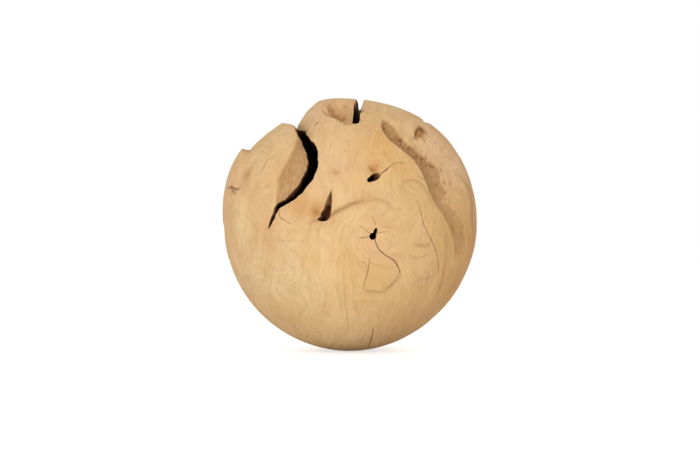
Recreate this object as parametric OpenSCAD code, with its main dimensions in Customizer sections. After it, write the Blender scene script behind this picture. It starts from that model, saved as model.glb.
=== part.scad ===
// Solid wooden ball, carved from one block of root wood and sanded round.
// It rests on its lowest point, which is the origin. The side with the main
// cleft and the knot faces the front, which is -Y.

/* [Ball] */
// Diameter of the ball across its sound wood
ball_d = 200; // [140:1:300]
// Height of the highest soft swell left by hand sanding
swell_h = 3; // [0:0.1:5]
// Height that the left lobe stands proud at its top
lobe_h = 5; // [0:0.1:7]
// Widest part of the step at the edge of the left lobe
lobe_step = 8; // [3:0.5:14]
// Depth of the soft valley above the belly
valley_depth = 3.5; // [0:0.1:6]
// Width of the valley, from the belly's edge up
valley_w = 30; // [20:1:40]
// How far the belly's edge is rounded, to either side
valley_edge = 4; // [3:0.5:8]
// Cells along each side of the surface grid
grid_n = 24; // [16:2:28]

/* [Main cleft] */
// Widest opening of the cleft
cleft_w = 14; // [4:0.5:16]
// Deepest reach of the cleft
cleft_depth = 45; // [15:1:55]
// Drop of the hollowed bank on the left of the cleft
bank_drop = 9; // [1:0.5:12]
// Drop of the rounded shoulder right of the cleft, over the top
shoulder_drop = 10; // [1:0.5:12]

/* [Right trough] */
// Depth of the trough below its lip
trough_depth = 12; // [3:0.5:18]

/* [Top crater and slit] */
// Widest opening of the crater, across
crater_w = 22; // [10:1:30]
// Depth of the crater
crater_depth = 15; // [4:0.5:22]
// Widest opening of the slit beside the crater
slit_w = 6.5; // [2:0.1:9]
// Deepest reach of the slit
slit_depth = 26; // [8:1:36]

/* [Holes] */
// Widest opening of the drop-shaped slot in the middle
slot_w = 6.5; // [3:0.1:10]
// Depth of that slot
slot_depth = 20; // [6:1:35]
// Widest opening of the slanted eye right of the middle
eye_w = 4.5; // [2:0.1:7]
// Depth of that eye
eye_depth = 18; // [5:1:30]
// Widest opening of the hole at the heart of the knot
knot_hole_w = 5.4; // [2:0.1:8]
// Depth of the hole at the heart of the knot
knot_hole_depth = 12; // [4:1:25]
// Diameter of the pits in the trough wall
pit_d = 4; // [2:0.1:6]
// Depth of the pits in the trough wall
pit_depth = 2.5; // [1:0.1:5]

/* [Drying cracks] */
// Widest opening of a drying crack
crack_w = 1.2; // [0.6:0.1:2]
// Depth of a drying crack
crack_depth = 7; // [2:0.5:12]

/* [Hidden] */

ball_r = ball_d / 2;
// How far a cutting shape reaches out past the ball
overshoot = 12;
// Steps that a path is smoothed into between two of its rows
path_steps = 2;
// How far the edge of a hollow starts above the surface
edge_lift = 0.3;

// Places on the ball are azimuth and elevation in degrees. Azimuth 0 faces the
// front and grows to the right, and elevation 90 is the top.

// Swells: azimuth, elevation, reach in degrees, share of swell_h
SWELLS = [
    [88, 42, 24, 1],
    [80, 5, 26, 0.3],
    [62, -46, 22, -0.35],
    [-62, 54, 17, -0.9],
    [-94, 54, 13, -0.4],
    [-66, 76, 10, 0.8],
    [24, 14, 13, 0.6],
    [4, 30, 13, -0.5],
    [-8, -30, 34, 0.3],
    [170, 10, 30, 0.4],
    [130, -25, 28, -0.4],
    [-140, -20, 30, 0.3],
];

// Edge of the left lobe: azimuth, elevation, share of lobe_h, share of lobe_step
LOBE_EDGE = [
    [-56, -12, 0, 1],
    [-53, 2, 0.3, 1],
    [-53, 12, 0.5, 0.9],
    [-56.5, 21, 0.7, 0.7],
    [-64, 28, 0.9, 0.5],
    [-76, 34.5, 1.05, 0.25],
    [-90, 36.5, 1.1, 0.2],
    [-108, 35, 0.9, 0.3],
    [-126, 28, 0.5, 0.6],
    [-140, 16, 0, 1],
];

// Upper edge of the belly: azimuth, elevation, share of valley_depth
BELLY_EDGE = [
    [22, 20, 0],
    [11, 12, 0.6],
    [4, 8, 1],
    [-4.5, 4.5, 1],
    [-10, 0, 1],
    [-17, -1.5, 0.9],
    [-25, -1, 0.6],
    [-36, 0, 0],
];

// Cleft: azimuth, elevation, share of width, share of depth
CLEFT = [
    [-38.5, -2, 0.05, 0.06],
    [-37.5, 0.5, 0.17, 0.2],
    [-36, 3, 0.23, 0.3],
    [-35, 5.5, 0.28, 0.35],
    [-33.5, 8.5, 0.38, 0.42],
    [-30.5, 10.5, 0.5, 0.5],
    [-27.5, 13.5, 0.74, 0.65],
    [-24, 17, 0.84, 0.8],
    [-21.5, 21.5, 1, 0.95],
    [-20, 26.5, 0.93, 1],
    [-20.5, 32, 0.87, 1],
    [-22, 36, 0.84, 1],
    [-25.5, 40, 0.75, 0.95],
    [-31, 45, 0.64, 0.85],
    [-37.5, 49.5, 0.56, 0.8],
    [-45, 54, 0.48, 0.7],
    [-60, 58, 0.48, 0.66],
    [-90, 61.5, 0.5, 0.62],
    [-120, 58, 0.48, 0.6],
    [-136, 51, 0.42, 0.5],
    [-146, 41, 0.34, 0.36],
    [-151, 30, 0.22, 0.22],
    [-154, 18, 0.07, 0.06],
];

// Bank left of the cleft: azimuth and elevation at its outer edge, and again in
// the cleft, share of bank_drop
BANK = [
    [-35.5, 8, -33.5, 7.5, 0.1],
    [-35.5, 12, -30, 10.5, 0.5],
    [-36, 17, -26, 13, 0.8],
    [-36.5, 21, -22.5, 16.5, 0.95],
    [-35.5, 25, -20, 21.5, 1],
    [-34, 29.5, -18.5, 26.5, 1],
    [-33, 34, -19, 32, 1],
    [-33, 38.5, -22, 36, 0.95],
    [-34.5, 43, -26.5, 40.5, 0.85],
    [-40, 49, -33, 46.5, 0.7],
    [-52, 54, -45, 54, 0.5],
    [-74, 56, -60, 58, 0.45],
    [-94, 56.5, -90, 61.5, 0.4],
    [-116, 54, -120, 58, 0.3],
    [-133, 48, -136, 51, 0.05],
];

// Shoulder right of the cleft: azimuth and elevation in the cleft, and again at
// its outer edge, share of shoulder_drop
SHOULDER = [
    [-23.5, 38, -21, 39, 0.05],
    [-27, 41.5, -21.5, 45, 0.25],
    [-33, 46.5, -22, 52, 0.6],
    [-45, 54, -26, 60, 0.95],
    [-60, 58, -38, 70, 1.1],
    [-90, 61.5, -90, 75.5, 1.2],
    [-120, 58, -134, 67, 0.7],
    [-136, 51, -142, 52, 0.05],
];

// Trough, upwards: azimuth and elevation of its lip, and of its far rim, share
// of trough_depth
TROUGH = [
    [57, -16, 64, -16, 0.03],
    [54.5, -10, 69, -10, 0.14],
    [51.5, -3, 71, -3, 0.27],
    [47, 3, 72, 4, 0.42],
    [41.5, 9, 73, 11, 0.6],
    [38.5, 14.5, 74, 18, 0.78],
    [37.5, 20, 75, 25, 0.92],
    [36, 25.5, 76, 32, 1],
    [33, 31, 76, 39.5, 1],
    [28.5, 35.5, 73, 46, 1],
    [24, 40.5, 58, 51, 0.95],
    [22, 45.5, 42, 52.5, 0.8],
    [22.5, 50, 32, 54, 0.5],
    [25, 54, 27, 56, 0.1],
];

// Crater from its front notch to its back edge, then its shallow left end:
// azimuth, elevation, share of width, share of depth
CRATER = [
    [1, 49, 0.25, 0.1],
    [0, 51.5, 0.45, 0.55],
    [-2.5, 55, 0.7, 0.95],
    [-6, 60, 0.92, 1],
    [-10, 66, 1, 0.85],
    [-18, 72, 0.8, 0.5],
    [-30, 77, 0.4, 0.1],
];
CRATER_END = [
    [-8, 58, 0.5, 0.5],
    [-14, 60.5, 0.55, 0.6],
    [-20, 62.5, 0.45, 0.45],
    [-30, 65.5, 0.2, 0.1],
];

// Slit beside the crater, over the top: azimuth, elevation, share of width,
// share of depth
SLIT = [
    [4, 54.6, 0.5, 0.6],
    [4.6, 55.6, 0.9, 1],
    [5.6, 60.5, 1, 1],
    [9, 67, 1.1, 0.5],
    [14, 73, 1.1, 0.4],
    [42, 83.3, 0.95, 0.36],
    [130, 83.6, 0.8, 0.34],
    [163, 71, 0.7, 0.3],
    [166, 59, 0.45, 0.22],
    [167, 49, 0.15, 0.08],
];

// Drop-shaped slot: azimuth, elevation, share of width, share of depth
SLOT = [
    [-8.7, 15.5, 0.12, 0.15],
    [-9.2, 12.5, 0.45, 0.5],
    [-9.8, 9.3, 0.65, 0.85],
    [-10.4, 6.2, 0.85, 1],
    [-11.6, 3.9, 1, 1],
    [-13.1, 2.7, 0.6, 0.8],
    [-14.8, 2.8, 0.2, 0.3],
];

// Slanted eye: azimuth, elevation, share of width, share of depth
EYE = [
    [8.4, 19.5, 0.3, 0.3],
    [9.6, 20.4, 0.65, 0.9],
    [11.2, 21.3, 0.95, 1],
    [13, 22.3, 0.85, 0.8],
    [14.2, 23, 0.4, 0.4],
];

// Hole at the heart of the knot: azimuth, elevation, share of width, share of
// depth
KNOT_HOLE = [
    [9.2, -6.2, 0.4, 0.4],
    [9.6, -5.4, 0.95, 1],
    [10.1, -4.5, 1, 1],
    [10.6, -3.7, 0.6, 0.8],
    [11, -2.5, 0.55, 0.7],
    [11.5, -1.4, 0.3, 0.3],
];

// Drying cracks, each a row of azimuth, elevation, share of width and depth
CRACKS = [
    [[14, 22.3, 0.9], [17, 24.3, 1.2], [20, 26.3, 0.6], [24, 28, 0.5], [28, 27.5, 0.3]],
    [[10.5, -5.5, 1], [12, -9.5, 1], [15, -12.5, 1], [20, -15.5, 1], [23, -19.5, 0.8],
        [24.3, -23, 0.4]],
    [[30.5, 10.5, 0.3], [32, 5.5, 0.8], [33.5, 0.5, 0.8], [36.5, -4.5, 0.9], [40, -9, 0.9],
        [43.5, -15, 0.7], [47, -22, 0.3]],
    [[17, -52, 0.6], [19.5, -60, 1], [24, -68, 1], [34, -76, 0.7]],
    [[-33, 7, 0.7], [-32, 3.5, 0.7], [-30, 2.2, 0.6], [-27, 0.5, 0.3]],
];

// Pits in the trough's wall: azimuth, elevation, share of pit_d, share of
// pit_depth, share of trough_depth that lies above
PITS = [
    [41, 43.5, 1, 1.4, 0.55],
    [46, 46.5, 1.2, 1.8, 0.4],
    [52, 47, 1, 1.2, 0.3],
    [43, 32, 0.7, 0.8, 0.9],
    [47.5, 28, 0.8, 0.8, 0.9],
    [50, 22, 0.9, 0.8, 0.8],
    [54, 19, 0.7, 0.8, 0.6],
    [49, 15, 0.8, 0.8, 0.65],
    [60, 25, 0.6, 0.6, 0.5],
];

// Direction of a place on the ball
function aim(place) = [
    cos(place[1]) * sin(place[0]),
    -cos(place[1]) * cos(place[0]),
    sin(place[1])
];
function unit(v) = v / norm(v);
function clamped(x) = min(max(x, 0), 1);
// Smooth rise from 0 to 1 as x goes from a to b
function eased(a, b, x) = let (t = clamped((x - a) / (b - a))) t * t * (3 - 2 * t);
function total(list, i = 0) = i == len(list) ? 0 : list[i] + total(list, i + 1);

// A row of a path as its direction followed by its shares
function aimed(row) = concat(aim(row), [for (i = [2:len(row) - 1]) row[i]]);
// Point between b and c at t, on a smooth curve through a, b, c and d
function curve(a, b, c, d, t) =
    b + (c - a) * t / 2 + (2 * a - 5 * b + 4 * c - d) * t * t / 2
    + (3 * b - a - 3 * c + d) * t * t * t / 2;
// A path's rows, aimed and smoothed
function smoothed(path) =
    let (rows = [for (row = path) aimed(row)], last = len(rows) - 1)
    [
        for (i = [0:last - 1], k = [0:path_steps - 1])
            curve(rows[max(i - 1, 0)], rows[i], rows[i + 1], rows[min(i + 2, last)], k / path_steps),
        rows[last]
    ];
function direction(row) = unit([row[0], row[1], row[2]]);
function share(row, i) = max(row[2 + i], 0.02);

// Offset of a direction to the right of a path, in mm along the ball, and the
// path's row beside it, as [distance, offset, row]
function beside(dir, rows) =
    let (
        spans = [
            for (i = [0:len(rows) - 2])
                let (
                    a = direction(rows[i]),
                    run = direction(rows[i + 1]) - a,
                    t = clamped((dir - a) * run / (run * run)),
                    foot = a + run * t,
                    off = dir - foot,
                    far = norm(off) * ball_r,
                    side = off * cross(run, foot) < 0 ? -1 : 1
                )
                [far, side * far, rows[i] + (rows[i + 1] - rows[i]) * t]
        ],
        nearest = min([for (span = spans) span[0]])
    )
    [for (span = spans) if (span[0] == nearest) span][0];

LOBE_ROWS = [for (row = LOBE_EDGE) aimed(row)];
BELLY_ROWS = [for (row = BELLY_EDGE) aimed(row)];

function swells(dir) = swell_h * total([
    for (s = SWELLS) s[3] * exp(-pow(acos(min(dir * aim(s), 1)) / s[2], 2))
]);
// The lobe rises left of its edge, which runs from the front over to the back
function lobe(dir) =
    let (b = beside(dir, LOBE_ROWS), step = lobe_step * b[2][4])
    lobe_h * b[2][3] * eased(0, step, -b[1]) * (1 - eased(lobe_step, ball_r * 0.8, -b[1]));
// The valley lies above the belly's edge, which runs from right to left
function valley(dir) =
    let (b = beside(dir, BELLY_ROWS))
    valley_depth * b[2][3] * eased(-valley_edge, valley_edge, b[1])
    * (1 - eased(valley_w * 0.3, valley_w, b[1]));
// Point at a height above the ball's surface
function raised(dir, height) = dir * (ball_r + swells(dir) + lobe(dir) - valley(dir) + height);

// The surface grid is a cube's, blown out to the ball: loops around the four
// sides, then the insides of the bottom and the top
function spread(i) = tan(45 * (2 * i / grid_n - 1));
function loop_place(p) =
    let (side = floor(p / grid_n), i = p % grid_n)
    side == 0 ? [i, 0] : side == 1 ? [grid_n, i] : side == 2 ? [grid_n - i, grid_n] : [0, grid_n - i];
LOOP = 4 * grid_n;
function loop_number(i, j) =
    j == 0 ? i : i == grid_n ? grid_n + j : j == grid_n ? 3 * grid_n - i : (4 * grid_n - j) % LOOP;
function grid_number(i, j, level) =
    i == 0 || j == 0 || i == grid_n || j == grid_n
    ? level * LOOP + loop_number(i, j)
    : LOOP * (grid_n + 1) + (level == 0 ? 0 : pow(grid_n - 1, 2)) + (j - 1) * (grid_n - 1) + i - 1;
function cell(a, b, c, d) = [[a, b, c], [a, c, d]];

module body() {
    sides = [
        for (level = [0:grid_n], p = [0:LOOP - 1])
            let (place = loop_place(p))
            [spread(place[0]), spread(place[1]), spread(level)]
    ];
    caps = [
        for (z = [-1, 1], j = [1:grid_n - 1], i = [1:grid_n - 1]) [spread(i), spread(j), z]
    ];
    side_cells = [
        for (level = [0:grid_n - 1], p = [0:LOOP - 1])
            let (a = level * LOOP + p, b = level * LOOP + (p + 1) % LOOP)
            each cell(a, a + LOOP, b + LOOP, b)
    ];
    cap_cells = [
        for (level = [0, grid_n], j = [0:grid_n - 1], i = [0:grid_n - 1])
            let (
                a = grid_number(i, j, level),
                b = grid_number(i + 1, j, level),
                c = grid_number(i + 1, j + 1, level),
                d = grid_number(i, j + 1, level)
            )
            each (level == 0 ? cell(a, b, c, d) : cell(a, d, c, b))
    ];
    polyhedron(
        points = [for (v = concat(sides, caps)) raised(unit(v), 0)],
        faces = concat(side_cells, cap_cells)
    );
}

// Section point at an offset to the right of the path and a height above the ball
function section_point(dir, right, p) =
    let (turn = p[0] / ball_r * 180 / PI) raised(cos(turn) * dir + sin(turn) * right, p[1]);

// Solid through rings of points, all of the same length
module lofted(rings) {
    last = len(rings) - 1;
    size = len(rings[0]);
    walls = [
        for (i = [0:last - 1], k = [0:size - 1])
            let (a = i * size + k, b = i * size + (k + 1) % size)
            each cell(a, a + size, b + size, b)
    ];
    ends = [
        for (k = [1:size - 2])
            each [[0, k, k + 1], [last * size, last * size + k + 1, last * size + k]]
    ];
    polyhedron(points = [for (ring = rings) each ring], faces = concat(walls, ends));
}

// Solid swept along a path, with one section for each row
module swept(rows, sections) {
    last = len(rows) - 1;
    lofted([
        for (i = [0:last])
            let (
                dir = direction(rows[i]),
                ahead = direction(rows[min(i + 1, last)]) - direction(rows[max(i - 1, 0)]),
                right = unit(cross(ahead, dir))
            )
            [for (p = sections[i]) section_point(dir, right, p)]
    ]);
}

// Deep narrow opening with walls that close towards its bottom
module fissure(path, width, depth) {
    rows = smoothed(path);
    swept(rows, [
        for (row = rows)
            let (w = width / 2 * share(row, 1), d = depth * share(row, 2))
            [[-w, overshoot], [w, overshoot], [w * 0.85, -d * 0.6], [w * 0.3, -d],
                [-w * 0.3, -d], [-w * 0.85, -d * 0.6]]
    ]);
}

// Round-bottomed hollow
module bowl(path, width, depth) {
    rows = smoothed(path);
    swept(rows, [
        for (row = rows)
            let (w = width / 2 * share(row, 1), d = depth * share(row, 2))
            [[-w * 1.1, overshoot], [w * 1.1, overshoot], [w, edge_lift], [w * 0.75, -d * 0.7],
                [w * 0.35, -d], [-w * 0.35, -d], [-w * 0.75, -d * 0.7], [-w, edge_lift]]
    ]);
}

// Profiles of a scoop: share of the way from its first edge to its second, and
// share of its depth there
STEEP_LIP = [
    [0, 0], [0.05, 0.72], [0.13, 1], [0.3, 0.93], [0.5, 0.66], [0.74, 0.26], [0.9, 0.06], [1, 0]
];
FALLING_BANK = [[0, 0], [0.22, 0.4], [0.58, 0.8], [1, 1]];
ROUND_SHOULDER = [[0, 1], [0.25, 0.68], [0.6, 0.28], [1, 0]];

// Hollow spanned between two edges that run side by side. Each row holds the
// places of both edges and a share of the depth.
module scoop(edges, depth, profile) {
    near = smoothed([for (row = edges) [row[0], row[1], row[4]]]);
    far = smoothed([for (row = edges) [row[2], row[3]]]);
    rings = [
        for (i = [0:len(near) - 1])
            let (a = direction(near[i]), b = direction(far[i]), d = depth * max(near[i][3], 0))
            [
                raised(b, overshoot),
                for (k = [1:len(profile)])
                    let (p = profile[len(profile) - k])
                    raised(unit(a + (b - a) * p[0]), edge_lift - (d + edge_lift) * p[1]),
                raised(a, overshoot)
            ]
    ];
    lofted(rings);
}

// Crack with a wedge section
module crack(path) {
    rows = smoothed(path);
    swept(rows, [
        for (row = rows)
            let (w = crack_w / 2 * share(row, 1), d = crack_depth * share(row, 1))
            [[-w, overshoot], [w, overshoot], [0, -d]]
    ]);
}

// Round-bottomed pit at a place, straight towards the middle of the ball
module pit(place, d, depth) {
    hull() {
        translate(aim(place) * (ball_r + overshoot)) sphere(d = d, $fn = 8);
        translate(aim(place) * (ball_r - depth)) sphere(d = d * 0.7, $fn = 8);
    }
}

module trough_pits() {
    for (p = PITS) pit(p, pit_d * p[2], pit_depth * p[3] + trough_depth * p[4]);
}

module wooden_ball() {
    color([0.88, 0.73, 0.54])
        translate([0, 0, ball_r])
            difference() {
                body();
                fissure(CLEFT, cleft_w, cleft_depth);
                scoop(BANK, bank_drop, FALLING_BANK);
                scoop(SHOULDER, shoulder_drop, ROUND_SHOULDER);
                scoop(TROUGH, trough_depth, STEEP_LIP);
                bowl(CRATER, crater_w, crater_depth);
                bowl(CRATER_END, crater_w, crater_depth);
                fissure(SLIT, slit_w, slit_depth);
                fissure(SLOT, slot_w, slot_depth);
                fissure(EYE, eye_w, eye_depth);
                fissure(KNOT_HOLE, knot_hole_w, knot_hole_depth);
                for (path = CRACKS) crack(path);
                trough_pits();
            }
}

wooden_ball();
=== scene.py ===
"""A solid ball carved from root wood: pale sanded surface, a deep winding cleft, a side
trough, holes, a knot and drying cracks. The carved surface is built finely around the
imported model's own form, cut by the same paths, and dressed in a procedural wood."""
import math

import bpy
import numpy as np
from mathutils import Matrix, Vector, noise


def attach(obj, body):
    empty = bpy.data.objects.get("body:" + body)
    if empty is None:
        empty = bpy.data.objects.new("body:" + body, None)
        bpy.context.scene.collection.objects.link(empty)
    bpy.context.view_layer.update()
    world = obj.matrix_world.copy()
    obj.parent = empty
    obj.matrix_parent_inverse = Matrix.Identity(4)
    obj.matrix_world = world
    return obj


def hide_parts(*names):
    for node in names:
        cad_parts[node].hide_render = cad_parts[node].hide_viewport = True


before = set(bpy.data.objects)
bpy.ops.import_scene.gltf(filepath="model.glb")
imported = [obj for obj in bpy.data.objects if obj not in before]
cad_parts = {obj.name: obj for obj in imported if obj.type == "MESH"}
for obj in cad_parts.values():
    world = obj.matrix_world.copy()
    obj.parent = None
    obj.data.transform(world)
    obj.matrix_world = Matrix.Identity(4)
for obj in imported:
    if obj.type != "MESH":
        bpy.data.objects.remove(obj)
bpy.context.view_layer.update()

# Lengths are in mm until a mesh is made. Places on the ball are azimuth and elevation
# in degrees: azimuth 0 is the front, which is -Y, and elevation 90 is the top.
MM = 0.001
BALL_R = 100.0
SANDED = 0.15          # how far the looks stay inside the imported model's skin
FACE_CELLS = 112       # cells along each side of the body's six faces
FRONT_FOCUS = 0.74     # how much closer the cells stand at the front
OVERSHOOT = 12.0       # how far a cutting shape reaches out past the ball
PATH_STEPS = 7         # steps between two rows of a path

SWELL_H = 3.0
LOBE_H, LOBE_STEP = 5.0, 8.0
VALLEY_DEPTH, VALLEY_W, VALLEY_EDGE = 3.5, 30.0, 4.0
BANK_DROP, SHOULDER_DROP, TROUGH_DEPTH = 9.0, 10.0, 12.0
CRATER_W, CRATER_DEPTH = 22.0, 15.0
CLEFT_W, CLEFT_DEPTH = 14.0, 45.0
SLIT_W, SLIT_DEPTH = 6.5, 26.0
SLOT_W, SLOT_DEPTH = 8.0, 15.0
EYE_W, EYE_DEPTH = 6.4, 18.0
KNOT_HOLE_W, KNOT_HOLE_DEPTH = 5.4, 12.0
CRACK_W, CRACK_DEPTH = 0.65, 3.0

# Swells: azimuth, elevation, reach in degrees, share of SWELL_H
SWELLS = [
    [88, 42, 24, 1], [80, 5, 26, 0.3], [62, -46, 22, -0.35], [-62, 54, 17, -0.9],
    [-94, 54, 13, -0.4], [-66, 76, 10, 0.8], [24, 14, 13, 0.6], [4, 30, 13, -0.5],
    [-8, -30, 34, 0.3], [170, 10, 30, 0.4], [130, -25, 28, -0.4], [-140, -20, 30, 0.3],
]
# Edge of the left lobe: azimuth, elevation, share of LOBE_H, share of LOBE_STEP
LOBE_EDGE = [
    [-56, -12, 0, 1], [-53, 2, 0.3, 1], [-53, 12, 0.5, 0.9], [-56.5, 21, 0.7, 0.7],
    [-64, 28, 0.9, 0.5], [-76, 34.5, 1.05, 0.25], [-90, 36.5, 1.1, 0.2], [-108, 35, 0.9, 0.3],
    [-126, 28, 0.5, 0.6], [-140, 16, 0, 1],
]
# Upper edge of the belly: azimuth, elevation, share of VALLEY_DEPTH
BELLY_EDGE = [
    [22, 20, 0], [11, 12, 0.6], [4, 8, 1], [-4.5, 4.5, 1], [-10, 0, 1], [-17, -1.5, 0.9],
    [-25, -1, 0.6], [-36, 0, 0],
]
# Hollows: azimuth and elevation of both edges, share of the depth
BANK = [
    [-35.5, 8, -33.5, 7.5, 0.1], [-35.5, 12, -30, 10.5, 0.5], [-36, 17, -26, 13, 0.8],
    [-36.5, 21, -22.5, 16.5, 0.95], [-35.5, 25, -20, 21.5, 1], [-34, 29.5, -18.5, 26.5, 1],
    [-33, 34, -19, 32, 1], [-33, 38.5, -22, 36, 0.95], [-34.5, 43, -26.5, 40.5, 0.85],
    [-40, 49, -33, 46.5, 0.7], [-52, 54, -45, 54, 0.5], [-74, 56, -58, 57.3, 0.45],
    [-94, 56.5, -90, 59.8, 0.4], [-116, 54, -120, 56.8, 0.3], [-133, 48, -136, 51, 0.05],
]
SHOULDER = [
    [-23.5, 38, -21, 39, 0.05], [-27, 41.5, -21.5, 45, 0.25], [-33, 46.5, -22, 52, 0.6],
    [-45, 54, -26, 60, 0.95], [-58, 57.3, -38, 70, 1.1], [-90, 59.8, -90, 75.5, 1.2],
    [-120, 56.8, -134, 67, 0.7], [-136, 51, -142, 52, 0.05],
]
TROUGH = [
    [57, -16, 64, -16, 0.03], [54.5, -10, 69, -10, 0.14], [51.5, -3, 71, -3, 0.27],
    [47, 3, 72, 4, 0.42], [41.5, 9, 73, 11, 0.6], [38.5, 14.5, 74, 18, 0.78],
    [37.5, 20, 75, 25, 0.92], [36, 25.5, 76, 32, 1], [33, 31, 76, 39.5, 1],
    [28.5, 35.5, 73, 46, 1], [24, 40.5, 58, 51, 0.95], [22, 45.5, 42, 52.5, 0.8],
    [22.5, 50, 32, 54, 0.5], [25, 54, 27, 56, 0.1],
]
# Profiles of the hollows: share of the way between the edges, share of the depth
STEEP_LIP = [
    [0, 0], [0.05, 0.72], [0.13, 1], [0.3, 0.93], [0.5, 0.66], [0.74, 0.26], [0.9, 0.06],
    [1, 0],
]
FALLING_BANK = [[0, 0], [0.22, 0.4], [0.58, 0.8], [1, 1]]
ROUND_SHOULDER = [[0, 1], [0.25, 0.68], [0.6, 0.28], [1, 0]]
BOWL = [[0, 1], [0.35, 1], [0.75, 0.7], [1, 0]]

# Openings: azimuth, elevation, share of the width, share of the depth
CRATER = [
    [3.5, 54, 0.42, 0.6], [0.5, 55.5, 0.6, 0.9], [-3, 58, 0.82, 1], [-6, 61, 0.95, 1],
    [-10, 66, 1, 0.85], [-18, 72, 0.8, 0.5], [-30, 77, 0.4, 0.1],
]
CRATER_END = [
    [-8, 58, 0.5, 0.5], [-14, 60.5, 0.55, 0.6], [-20, 62.5, 0.45, 0.45], [-30, 65.5, 0.2, 0.1],
]
CLEFT = [
    [-38.5, -2, 0.05, 0.06], [-37.5, 0.5, 0.17, 0.2], [-36, 3, 0.23, 0.3],
    [-35, 5.5, 0.28, 0.35], [-33.5, 8.5, 0.38, 0.42], [-30.5, 10.5, 0.5, 0.5],
    [-27.5, 13.5, 0.74, 0.65], [-24, 17, 0.84, 0.8], [-21.5, 21.5, 1, 0.95],
    [-20, 26.5, 0.93, 1], [-20.7, 32, 0.83, 1], [-22.5, 36, 0.74, 1], [-26.3, 40, 0.6, 0.95],
    [-31.8, 45, 0.5, 0.85], [-38.1, 49.5, 0.46, 0.8], [-45.3, 54, 0.44, 0.7],
    [-58, 57.3, 0.38, 0.47], [-90, 59.8, 0.34, 0.4], [-120, 56.8, 0.34, 0.4],
    [-136, 50.5, 0.36, 0.4], [-146, 41, 0.32, 0.34], [-151, 30, 0.22, 0.22],
    [-154, 18, 0.07, 0.06],
]
SLIT = [
    [4, 54.6, 0.5, 0.6], [4.6, 55.6, 0.9, 1], [5.6, 60.5, 1, 1], [9, 67, 1.1, 0.5],
    [14, 73, 1.1, 0.4], [42, 83.3, 0.95, 0.36], [130, 83.6, 0.8, 0.34], [163, 71, 0.7, 0.3],
    [166, 59, 0.45, 0.22], [167, 49, 0.15, 0.08],
]
SLOT = [
    [-8.7, 15.5, 0.12, 0.15], [-9.2, 12.5, 0.45, 0.5], [-9.8, 9.3, 0.65, 0.85],
    [-10.4, 6.2, 0.85, 1], [-11.6, 3.9, 1, 1], [-13.1, 2.7, 0.6, 0.8], [-14.8, 2.8, 0.2, 0.3],
]
EYE = [
    [8.4, 19.5, 0.3, 0.3], [9.6, 20.4, 0.65, 0.9], [11.2, 21.3, 0.95, 1],
    [13, 22.3, 0.85, 0.8], [14.2, 23, 0.4, 0.4],
]
KNOT_HOLE = [
    [9.2, -6.2, 0.4, 0.4], [9.6, -5.4, 0.95, 1], [10.1, -4.5, 1, 1], [10.6, -3.7, 0.6, 0.8],
    [11, -2.5, 0.55, 0.7], [11.5, -1.4, 0.3, 0.3],
]
# Drying cracks: azimuth, elevation, share of width and depth
CRACKS = [
    [[14, 22.3, 0.9], [17, 24.3, 1.2], [20, 26.3, 0.6], [24, 28, 0.5], [28, 27.5, 0.3]],
    [[10.5, -5.5, 1], [12, -9.5, 1], [15, -12.5, 1], [20, -15.5, 1], [23, -19.5, 0.8],
        [24.3, -23, 0.4]],
    [[30.5, 10.5, 0.3], [32, 5.5, 0.8], [33.5, 0.5, 0.8], [36.5, -4.5, 0.9],
        [40, -9, 0.9], [43.5, -15, 0.7], [47, -22, 0.3]],
    [[17, -52, 0.6], [19.5, -60, 1], [24, -68, 1], [34, -76, 0.7]],
    [[-33, 7, 0.7], [-32, 3.5, 0.7], [-30, 2.2, 0.6], [-27, 0.5, 0.3]],
]
# Hairline checks, thinner and shallower than the cracks
CHECKS = [
    [[9.3, -3.6, 1], [8.5, -3.5, 0.9], [6.5, -2, 0.7], [4, 0, 0.3]],
    [[9, -5, 1], [6, -5.3, 0.8], [3.5, -5.5, 0.3]],
    [[11, -3.6, 0.7], [13.5, -3.2, 0.6], [16.5, -2.5, 0.2]],
    [[11, 0, 0.6], [10.3, 2, 0.6], [9.5, 3.5, 0.2]],
    [[8.7, -13, 0.3], [8.5, -17, 0.9], [8, -20.5, 0.9], [7, -24.5, 0.8], [6.5, -28.5, 0.6]],
    [[5, -15.5, 0.4], [6.5, -16.5, 0.7], [8, -19, 0.4]],
    [[38, -6, 0.7], [39.5, -3, 0.3]],
    [[32, 21.5, 0.5], [34.5, 20.5, 0.7], [37, 19.5, 0.6]],
]
CHECK_W, CHECK_DEPTH = 0.45, 1.2
# Where the painted shade on the trough's wall ends and its pale floor begins, from the bottom up
LEDGE = [
    [62.5, -10], [62.5, -2], [60, 3.5], [55, 8], [50.5, 11], [53, 14], [54.5, 17],
    [53, 20.5], [54.5, 24], [55, 27.5], [52, 32], [47.5, 36], [44, 40.5], [40, 44.5],
    [36.5, 48], [32, 51.5], [28, 55],
]
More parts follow.
